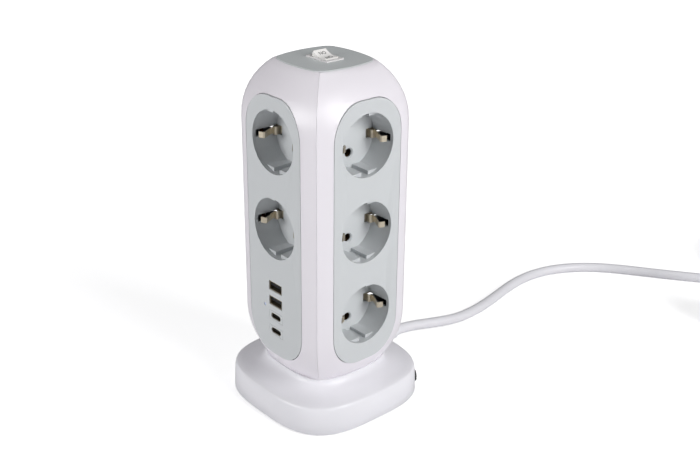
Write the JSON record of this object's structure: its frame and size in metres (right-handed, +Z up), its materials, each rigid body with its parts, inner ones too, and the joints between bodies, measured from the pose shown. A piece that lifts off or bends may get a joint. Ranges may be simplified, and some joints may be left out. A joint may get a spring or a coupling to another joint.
{
  "type": "tower power strip",
  "caption": "Square tower of recessed earthed mains sockets with charging ports, a rocker switch on top, a flared base with a reset button, and a mains lead with an earthed plug.",
  "frame": {"origin": "on the floor, under the middle of the tower", "axes": "+Z up; the face with the charging ports looks along -Y; the mains lead leaves the base along +Y; the reset button is at the base's corner between +X and +Y"},
  "size_m": [0.2093, 0.5287, 0.2338],
  "materials": {
    "white_plastic": "smooth satin white",
    "cap_plastic": "smooth satin gray",
    "gray_plastic": "smooth satin pale gray",
    "nickel": "satin nickel plate",
    "brass": "plain stamped",
    "black_plastic": "matt",
    "board": "solder mask",
    "yellow_tape": "wrapped",
    "lens": "clear pale blue",
    "rubber": "matt",
    "steel": "plain",
    "wire_brown": "smooth",
    "wire_black": "smooth",
    "wire_blue": "smooth",
    "wire_earth": "green and yellow",
    "cord_sheath": "smooth white sheath"
  },
  "bodies": {
    "tower": {"right_shell": "white_plastic", "left_shell": "white_plastic", "top_cap": "cap_plastic", "right_socket_panel": "gray_plastic", "back_socket_panel": "gray_plastic", "left_socket_panel": "gray_plastic", "front_port_panel": "gray_plastic", "board_posts": "gray_plastic", "right_socket_wells": "gray_plastic", "back_socket_wells": "gray_plastic", "left_socket_wells": "gray_plastic", "front_socket_wells": "gray_plastic", "earth_clips": "nickel", "live_bus": "brass", "neutral_bus": "brass", "earth_bus": "brass", "inner_spine": "white_plastic", "port_a_shells": "nickel", "port_a_tongues": "black_plastic", "port_c_surrounds": "gray_plastic", "port_c_shells": "nickel", "port_c_tongues": "black_plastic", "charger_board": "board", "charger_transformer": "yellow_tape", "charger_capacitors": "black_plastic", "indicator_lens": "lens", "switch_frame": "white_plastic", "switch_terminals": "brass", "base_cover": "white_plastic", "base_plate": "white_plastic", "rubber_feet": "rubber", "base_screws": "steel", "tower_screws": "steel", "base_weight": "steel", "breaker_body": "black_plastic", "breaker_terminals": "brass", "live_in_lead": "wire_brown", "live_up_lead": "wire_black", "live_down_lead": "wire_brown", "neutral_lead": "wire_blue", "earth_lead": "wire_earth", "lead_clamp": "white_plastic", "clamp_screws": "steel", "strain_relief": "cord_sheath", "power_cord": "cord_sheath", "cord_coil": "cord_sheath", "coil_tie": "white_plastic", "plug_lead": "cord_sheath", "plug_boot": "cord_sheath", "plug_body": "white_plastic", "plug_pins": "nickel", "plug_earth_contact": "nickel"},
    "rocker": {"rocker": "white_plastic"},
    "reset_button": {"reset_button": "black_plastic"}
  },
  "joints": [
    {"name": "rocker_tilt", "type": "hinge", "parent": "tower", "child": "rocker", "pos_m": [0, 0, 0.228], "axis": [0, 1, 0], "range_deg": [-26, 0]},
    {"name": "reset_slide", "type": "slide", "parent": "tower", "child": "reset_button", "axis": [0.5174, 0.8557, 0], "range_m": [0, 0.0025]}
  ]
}
